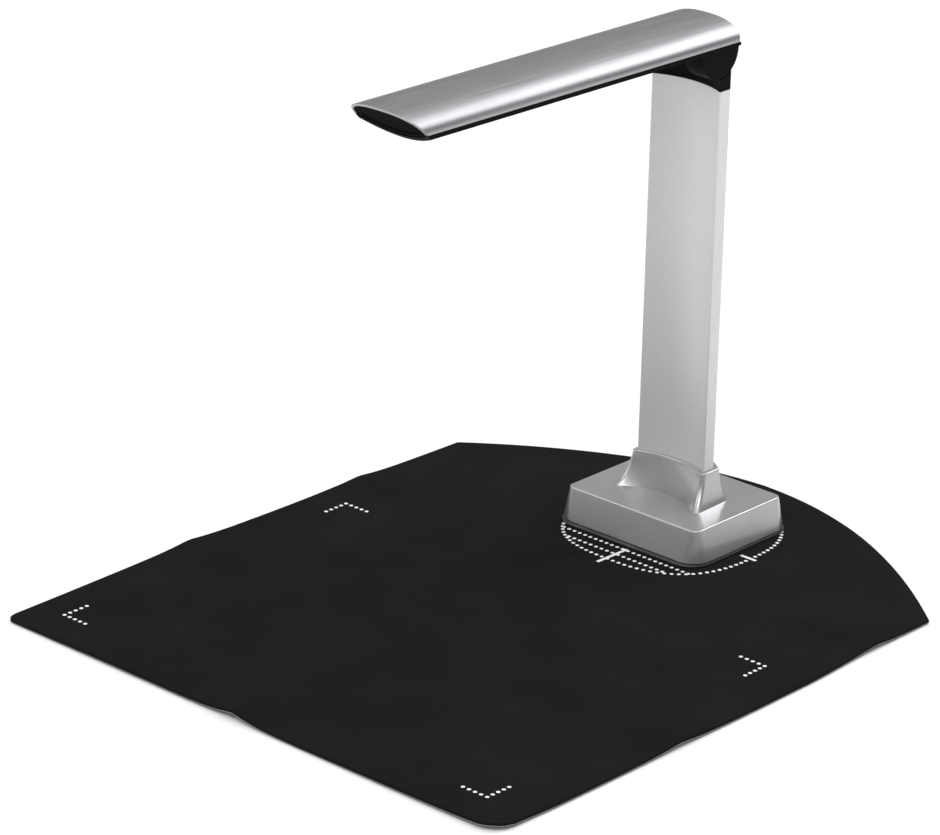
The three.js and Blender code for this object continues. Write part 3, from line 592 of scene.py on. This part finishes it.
def zinc_steel():
    """Zinc-plated steel with a mottled, slightly blue plating."""
    made = Material("zinc_steel", (0.5, 0.52, 0.55), 0.42, 0.95)
    mottle = made.cells((0.8, 0.8, 0.8))
    made.tint(made.spread(mottle, 0, 1), 0.12)
    made.vary_roughness(mottle, 0.08)
    made.bump(mottle, 0.01)
    return made.data


def circuit_board():
    """Green solder mask over copper tracks."""
    made = Material("circuit_board", (0.012, 0.09, 0.035), 0.35, Coat_Weight=0.4, Coat_Roughness=0.2)
    tracks = made.cells((2.2, 2.2, 50), "DISTANCE_TO_EDGE")
    made.tint(made.spread(tracks, 1, 0, 0.05, 0.1), 0.5)
    made.bump(tracks, 0.03)
    made.vary_roughness(made.noise((2, 2, 2)), 0.08)
    return made.data


def cable_sheath():
    """Smooth black PVC with slight waviness."""
    made = Material("cable_sheath", (0.012, 0.012, 0.0125), 0.5)
    waves = made.noise((2.5, 2.5, 8), detail=3)
    made.tint(made.spread(waves, 0, 1), 0.25)
    made.vary_roughness(waves, 0.08)
    made.bump(waves, 0.05)
    return made.data


def lens_glass():
    """Dark coated glass with a violet bloom."""
    made = Material("lens_glass", (0.012, 0.009, 0.03), 0.03, Coat_Weight=1.0, Coat_Roughness=0.02)
    bloom = made.cells((7, 7, 7))
    made.tint(bloom, 0.6)
    made.vary_roughness(made.noise((3, 3, 3)), 0.015)
    return made.data


def lamp_diffuser():
    """Frosted white plastic."""
    made = Material("lamp_diffuser", (0.82, 0.82, 0.78), 0.45, Subsurface_Weight=0.2)
    made.shader.inputs["Subsurface Radius"].default_value = (0.002, 0.002, 0.002)
    frost = made.noise((0.4, 0.4, 0.4), detail=4)
    made.tint(made.spread(frost, 0, 1), 0.06)
    made.vary_roughness(frost, 0.08)
    made.bump(frost, 0.02)
    return made.data


FINISH = {
    make.__name__: make()
    for make in (
        mat_cloth, silver_paint, satin_aluminium, brushed_aluminium, black_plastic, grey_plastic,
        gloss_black, foot_rubber, steel, zinc_steel, circuit_board, cable_sheath, lens_glass, lamp_diffuser,
    )
}
BACKING = mat_backing()
MATT_BLACK = matt_black()
INK = guide_ink()

# ---------------------------------------------------------------- CAD nodes that keep their shape

EDGE_WIDTH = {
    "grey_plastic": 0.3, "black_plastic": 0.25, "gloss_black": 0.2, "steel": 0.12, "zinc_steel": 0.12,
    "foot_rubber": 0.4,
}
REBUILT = {"positioning_mat", "base_shell", "column", "arm_top_shell"}

for part in frame["record"]["subparts"]:
    if part["node"] not in REBUILT:
        slot = part["material_slot"]
        refine_node(part["node"], FINISH[slot], EDGE_WIDTH.get(slot, 0.1))

tip_face = frame["nodes"]["arm_tip_cap"].data.materials
tip_face.clear()
tip_face.append(MATT_BLACK)

# ---------------------------------------------------------------- positioning mat


def crest(distance, width):
    """A rounded ridge, 1 on its line and falling away on both sides."""
    soft = 0.25 * width
    return math.exp(-(math.hypot(distance, soft) - soft) / width)


def smooth_step(value, low, high):
    share = min(1.0, max(0.0, (value - low) / (high - low)))
    return share * share * (3 - 2 * share)


def edge_rise(fold, distance):
    """How high a fold stands at a distance from the mat's edge."""
    return fold["rest"] + fold["rise"] * math.exp(-distance / fold["fade"])


def mat_lift(x, y):
    """How far the mat stands off the desk: its folds rise at the edges, and it is flat under the base."""
    from_base = math.hypot(max(0.0, abs(x) - FLAT_HALF[0]), max(0.0, abs(y) - FLAT_HALF[1]))
    free = smooth_step(from_base, *FLAT_FADE)
    to_side = max(0.0, min(x - MAT_LOW.x, MAT_HIGH.x - x))
    centre = crest(x - CENTRE_FOLD["x"], CENTRE_FOLD["width"]) * edge_rise(CENTRE_FOLD, y - FRONT_Y)
    at_edge = edge_rise(CROSS_FOLDS, to_side)
    slant = REAR_FOLD["left_y"] + REAR_FOLD["turn"] * (x - MAT_LOW.x) / (MAT_HIGH.x - MAT_LOW.x)
    rear_fold = crest(y - slant, REAR_FOLD["width"]) * at_edge
    front_fold = crest(y - FRONT_FOLD["y"], FRONT_FOLD["width"]) * at_edge
    corner = math.hypot(MAT_HIGH.x - x, y - FRONT_Y)
    curl = CORNER_CURL["rise"] * math.exp(-corner / CORNER_CURL["fade"])
    wave_x, wave_y = (
        math.sin(place / length + start)
        for place, length, start in zip((x, y), WAVES["length"], WAVES["start"])
    )
    waves = WAVES["height"] * (1 + wave_x * wave_y)
    return free * (centre + rear_fold + front_fold + curl + waves)


def mat_point(share_x, share_y):
    """A point of the mat's outline grid: share_x runs left to right and share_y front to back."""
    left, right = LEFT_EDGE_X[0], RIGHT_EDGE_X[0]
    x = left + (right - left) * share_x
    front = FRONT_Y
    for radius, inward in zip(MAT_FRONT_RADII, (x - left, right - x)):
        if inward < radius:
            front = FRONT_Y + radius - math.sqrt(radius ** 2 - (radius - inward) ** 2)
    across = (x - MAT_BACK_CENTRE.x) / MAT_BACK_REACH
    half = MAT_BACK_RADIUS * math.sin(math.asin(MAT_BACK_HALF / MAT_BACK_RADIUS) * across)
    back = MAT_BACK_CENTRE.y + math.sqrt(MAT_BACK_RADIUS ** 2 - half ** 2)
    y = front + (back - front) * share_y
    left = np.interp(y, EDGE_Y, LEFT_EDGE_X)
    right = np.interp(y, EDGE_Y, RIGHT_EDGE_X)
    return left + (right - left) * share_x, y


def grid_shares(count):
    """Shares from 0 to 1 that lie closer together near both ends."""
    even = [i / count for i in range(count + 1)]
    turn = 2 * math.pi
    return [share - GRID_CROWDING * math.sin(turn * share) / turn for share in even]


def make_mat():
    """A sheet of foam: cloth over its top and sides, backing below and along the foot of its sides."""
    across, along = (grid_shares(count) for count in MAT_GRID)
    last_i, last_j = len(across) - 1, len(along) - 1
    places = [[mat_point(share_x, share_y) for share_y in along] for share_x in across]
    rim = [(i, 0) for i in range(last_i)] + [(last_i, j) for j in range(last_j)]
    rim += [(i, last_j) for i in range(last_i, 0, -1)] + [(0, j) for j in range(last_j, 0, -1)]
    build = Builder()

    def vertex(i, j, height, inset):
        x, y = places[i][j]
        lift = mat_lift(x, y)
        x += inset * ((i == 0) - (i == last_i))
        y += inset * ((j == 0) - (j == last_j))
        return build.mesh.verts.new(Vector((x, y, height + lift)) * MM)

    def surface(height, inset, material):
        grid = [[vertex(i, j, height, inset) for j in range(last_j + 1)] for i in range(last_i + 1)]
        for i in range(last_i):
            for j in range(last_j):
                corners = (grid[i][j], grid[i + 1][j], grid[i + 1][j + 1], grid[i][j + 1])
                build.mesh.faces.new(corners).material_index = material
        return [grid[i][j] for i, j in rim]

    top = surface(MAT_THICKNESS, MAT_EDGE, 0)
    shoulder = [vertex(i, j, MAT_THICKNESS - MAT_EDGE, 0) for i, j in rim]
    seam = [vertex(i, j, BACKING_THICKNESS, 0) for i, j in rim]
    bottom_inset = 0.15
    bottom = surface(0, bottom_inset, 1)
    build.strip(top, shoulder)
    build.strip(shoulder, seam)
    build.strip(seam, bottom, material=1)
    made = build.piece("mat_sheet", [FINISH["mat_cloth"], BACKING])
    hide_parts("positioning_mat")
    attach(made, "mat")
    return made


def guide_outline():
    """Points a dot pitch apart round the rounded square that the base stands in."""
    fine = []
    for i in range(721):
        turn = 2 * math.pi * i / 720
        reach = []
        for part in (math.cos(turn), math.sin(turn)):
            reach.append(math.copysign(abs(part) ** (2 / GUIDE_POWER), part) * GUIDE_HALF)
        fine.append(GUIDE_CENTRE + Vector(reach))
    lengths = [0.0]
    for before, after in zip(fine, fine[1:]):
        lengths.append(lengths[-1] + (after - before).length)
    count = round(lengths[-1] / DOT_PITCH)
    wanted = [lengths[-1] * i / count for i in range(count)]
    xs = np.interp(wanted, lengths, [point.x for point in fine])
    ys = np.interp(wanted, lengths, [point.y for point in fine])
    return [Vector((float(x), float(y))) for x, y in zip(xs, ys)]


def dotted_line(start, end):
    start, end = Vector(start), Vector(end)
    count = round((end - start).length / DOT_PITCH)
    return [start.lerp(end, i / count) for i in range(count + 1)]


def page_corners():
    dots = []
    for side_x in (-1, 1):
        for side_y in (-1, 1):
            corner = PAGE_CENTRE + Vector((side_x * PAGE_HALF.x, side_y * PAGE_HALF.y))
            dots += [corner + Vector((-side_x * DOT_PITCH * i, 0)) for i in range(CORNER_DOTS)]
            dots += [corner + Vector((0, -side_y * DOT_PITCH * i)) for i in range(1, CORNER_DOTS)]
    return dots


def printed(name, outlines):
    """Flat printed shapes that follow the mat's surface, each slightly raised with a soft edge."""
    build = Builder()
    for outline in outlines:
        middle = sum(outline, Vector((0, 0))) / len(outline)
        rings = []
        for shrink, height in ((1.0, -0.05), (0.97, 0.6 * INK_HEIGHT), (0.85, INK_HEIGHT)):
            points = [middle + (point - middle) * shrink for point in outline]
            rings.append([(p.x, p.y, MAT_THICKNESS + mat_lift(p.x, p.y) + height) for p in points])
        made = build.loft(rings)
        build.cap(made[-1])
        build.cap(made[0][::-1])
    piece = build.piece(name, [INK])
    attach(piece, "mat")
    return piece


def dot(centre):
    return [Vector(point) for point in arc(centre, DOT_RADIUS, 0, 2 * math.pi, 16)[:-1]]


def tick(start, end):
    along = (end - start).normalized()
    side = Vector((-along.y, along.x)) * TICK_WIDTH / 2
    return [start - side, end - side, end + side, start + side]


def make_marks():
    guide = [dot(point) for point in guide_outline()]
    lines = [dot(point) for start, end in GUIDE_LINES for point in dotted_line(start, end)]
    ticks = []
    for side in (-1, 1):
        for direction, reach in ((Vector((side, 0)), SIDE_TICK), (Vector((0, side)), END_TICK)):
            ticks.append(tick(*(GUIDE_CENTRE + direction * distance for distance in reach)))
    return [
        printed("guide_dots", guide),
        printed("guide_lines", lines),
        printed("guide_ticks", ticks),
        printed("page_corner_dots", [dot(point) for point in page_corners()]),
    ]


marks = make_marks()
sheet = make_mat()

# ---------------------------------------------------------------- base shell with its neck


def make_base():
    build = Builder()
    ceiling = BASE["top"] - BASE["wall"]
    shoulder = BASE["top"] - BASE["edge_radius"]
    wall_end = 0.4
    outer = [base_outline(ceiling, BASE["wall"]), base_outline(BASE["bottom"], BASE["wall"])]
    outer += [base_outline(BASE["bottom"] + rise, inset) for rise, inset in quarter_round(BASE["lip"])]
    outer += [base_outline((BASE["bottom"] + shoulder) / 2), base_outline(shoulder - wall_end)]
    rounding = quarter_round(BASE["edge_radius"])
    outer += [base_outline(BASE["top"] - below, inset) for inset, below in rounding]
    block = build.loft(outer)

    height = NECK["top"] - BASE["top"]
    rings = []
    steps = 26
    for i in range(steps + 1):
        drop = math.sin(math.pi / 2 * (1 - i / steps))
        z = NECK["top"] - drop * height
        if z <= NECK["top"] - NECK["rim_edge"]:
            rings.append(flat_ring(neck_outline(drop), z))
    for inset, below in quarter_round(NECK["rim_edge"], 4):
        rings.append(flat_ring(neck_outline(0, inset), NECK["top"] - below))
    socket_edge = 0.25
    for inset, z in ((-GAP - socket_edge, NECK["top"]), (-GAP, NECK["top"] - socket_edge), (-GAP, ceiling)):
        rings.append(flat_ring(shield_outline(COLUMN_PLAN, inset, COLUMN_CORNER, COLUMN_CORNER), z))
    neck = build.loft(rings)
    build.fill(block[-1], neck[0])
    build.fill(block[0], neck[-1])
    made = build.piece("base_cover", [FINISH["silver_paint"]])

    def through_wall(name, outline):
        """A closed prism through the base's rear wall, from an outline in X and Z."""
        cutter = Builder()
        near, far = (cutter.ring([(x, y, z) for x, z in outline]) for y in WALL_CUT_Y)
        cutter.strip(near, far)
        cutter.cap(near)
        cutter.cap(far)
        return cutter.piece(name, [FINISH["silver_paint"]])

    socket_half_height = (USB["top"] - USB["bottom"]) / 2 + GAP
    socket_centre = (USB["x"], (USB["top"] + USB["bottom"]) / 2)
    socket = rounded_rectangle(USB["half"] + GAP, socket_half_height, 0.5, 4, socket_centre)
    round_hole = arc((BUTTON["x"], BUTTON["z"]), BUTTON["radius"] + GAP, 0, 2 * math.pi, 48)[:-1]
    carve(made, through_wall("socket_hole", socket), through_wall("button_hole", round_hole))
    round_edges(made, 0.0)
    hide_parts("base_shell")
    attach(made, "stand")


make_base()

# ---------------------------------------------------------------- column


def make_column():
    build = Builder()
    edge = COLUMN_EDGE
    low, high = COLUMN_LOW.z, COLUMN_HIGH.z

    def ring(inset, z):
        return flat_ring(shield_outline(COLUMN_PLAN, inset, COLUMN_CORNER, COLUMN_CORNER), z)

    def inner(inset, z):
        corner = COLUMN_INNER_CORNER
        return flat_ring(shield_outline(COLUMN_PLAN, inset, corner, corner), z)

    rings = [ring(edge, low), ring(0, low + edge)]
    rings += [ring(0, low + (high - low) * i / 8) for i in range(1, 8)]
    rings += [ring(0, high - edge), ring(0.3 * edge, high - 0.3 * edge), ring(edge, high)]
    rings += [inner(COLUMN_WALL - 0.1, high), inner(COLUMN_WALL, high - 0.2), inner(COLUMN_WALL, low)]
    made = build.loft(rings)
    build.strip(made[-1], made[0])
    piece = build.piece("column_tube", [FINISH["satin_aluminium"]])
    round_edges(piece, 0.0)
    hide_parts("column")
    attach(piece, "stand")


make_column()

# ---------------------------------------------------------------- arm upper shell


def make_arm_cover():
    """A thin arch along the arm, cut at a slant at both ends, with rounded outer edges there."""
    build = Builder()
    inner = arch(ARM["half"] - ARM["wall"], ARM["crown"] - ARM["wall"])

    def tip_end(rise):
        return ARM["tip"] - ARM["tip_slope"] * rise

    def rear_end(rise):
        return ARM["rear"] + ARM["rear_slope"] * rise

    def section(end, shift, inset=0.0):
        """A ring of the arch that slants like one of its ends, shifted from it along the arm."""
        outer = arch(ARM["half"] - inset, ARM["crown"] - inset)
        return [(x, end(z - ARM["seam"]) + shift, z) for x, z in outer + inner[::-1]]

    rounding = quarter_round(ARM["end_edge"])
    rings = [section(tip_end, depth, inset) for depth, inset in rounding]
    rings += [section(tip_end, length) for length in range(ARM_RING_PITCH, ARM_RINGS_END, ARM_RING_PITCH)]
    rings += [section(rear_end, -depth, inset) for depth, inset in reversed(rounding)]
    made = build.loft(rings)
    half = len(inner)
    for ring in (made[0], made[-1]):
        build.strip(ring[:half], ring[half:][::-1], closed=False)
    piece = build.piece("arm_cover", [FINISH["brushed_aluminium"]], ARM_PLACE)
    round_edges(piece, 0.25, 3, 44)
    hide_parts("arm_top_shell")
    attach(piece, "arm")


make_arm_cover()

# ---------------------------------------------------------------- camera, floor and light


def make_camera():
    """The camera stands in front of the scanner and to its right, and looks down on it."""
    azimuth, elevation, roll = (math.radians(CAMERA[key]) for key in ("azimuth", "elevation", "roll"))
    back = Vector((
        math.sin(azimuth) * math.cos(elevation),
        -math.cos(azimuth) * math.cos(elevation),
        math.sin(elevation),
    ))
    level = (-back).cross(Vector((0, 0, 1))).normalized()
    upright = level.cross(-back)
    right = level * math.cos(roll) + upright * math.sin(roll)
    up = upright * math.cos(roll) - level * math.sin(roll)
    data = bpy.data.cameras.new("camera")
    data.sensor_width = 36
    data.lens = CAMERA["lens"]
    data.clip_start = 0.05
    data.clip_end = 50
    camera = bpy.data.objects.new("camera", data)
    turned = Matrix((right, up, back)).transposed().to_4x4()
    camera.matrix_world = Matrix.Translation(CAMERA["place"]) @ turned
    bpy.context.scene.collection.objects.link(camera)
    bpy.context.scene.camera = camera


def make_floor():
    half = 9.0
    below = -0.0002
    data = bpy.data.meshes.new("floor")
    corners = [(-half, -half, below), (half, -half, below), (half, half, below), (-half, half, below)]
    data.from_pydata(corners, [], [(0, 1, 2, 3)])
    floor = bpy.data.objects.new("floor", data)
    bpy.context.scene.collection.objects.link(floor)
    finish = Material("floor_paper", (0.93, 0.93, 0.93), 0.9)
    finish.tint(finish.noise((400, 400, 400)), 0.01)
    data.materials.append(finish.data)


def soft_box(name, place, aim, size, radiance):
    """A rectangular studio light with the brightness of its face given."""
    data = bpy.data.lights.new(name, "AREA")
    data.shape = "RECTANGLE"
    data.size, data.size_y = size
    data.energy = radiance * math.pi * size[0] * size[1]
    light = bpy.data.objects.new(name, data)
    light.location = place
    light.rotation_euler = (Vector(aim) - Vector(place)).to_track_quat("-Z", "Y").to_euler()
    bpy.context.scene.collection.objects.link(light)


def make_world():
    """A pale room: dim at the horizon and brighter overhead."""
    world = bpy.data.worlds.new("room")
    world.use_nodes = True
    nodes, links = world.node_tree.nodes, world.node_tree.links
    direction = nodes.new("ShaderNodeTexCoord")
    split = nodes.new("ShaderNodeSeparateXYZ")
    ramp = nodes.new("ShaderNodeValToRGB")
    ramp.color_ramp.elements[0].position = 0.0
    ramp.color_ramp.elements[0].color = (0.2, 0.2, 0.205, 1)
    ramp.color_ramp.elements[1].position = 0.9
    ramp.color_ramp.elements[1].color = (0.75, 0.75, 0.75, 1)
    links.new(direction.outputs["Generated"], split.inputs[0])
    links.new(split.outputs["Z"], ramp.inputs["Fac"])
    links.new(ramp.outputs["Color"], nodes["Background"].inputs["Color"])
    bpy.context.scene.world = world


make_camera()
make_floor()
make_world()
TARGET = (0, -0.1, 0.15)
soft_box("back_light", (0.42, 1.7, 1.55), TARGET, (1.6, 1.0), 3.4)
soft_box("front_light", (1.1, -2.2, 2.6), TARGET, (2.4, 1.8), 2.9)
soft_box("left_light", (-1.7, -1.9, 1.3), TARGET, (1.6, 0.9), 2.0)
soft_box("top_light", (-0.3, 0.2, 2.6), TARGET, (2.8, 2.8), 0.8)
bpy.context.scene.view_settings.view_transform = "Standard"
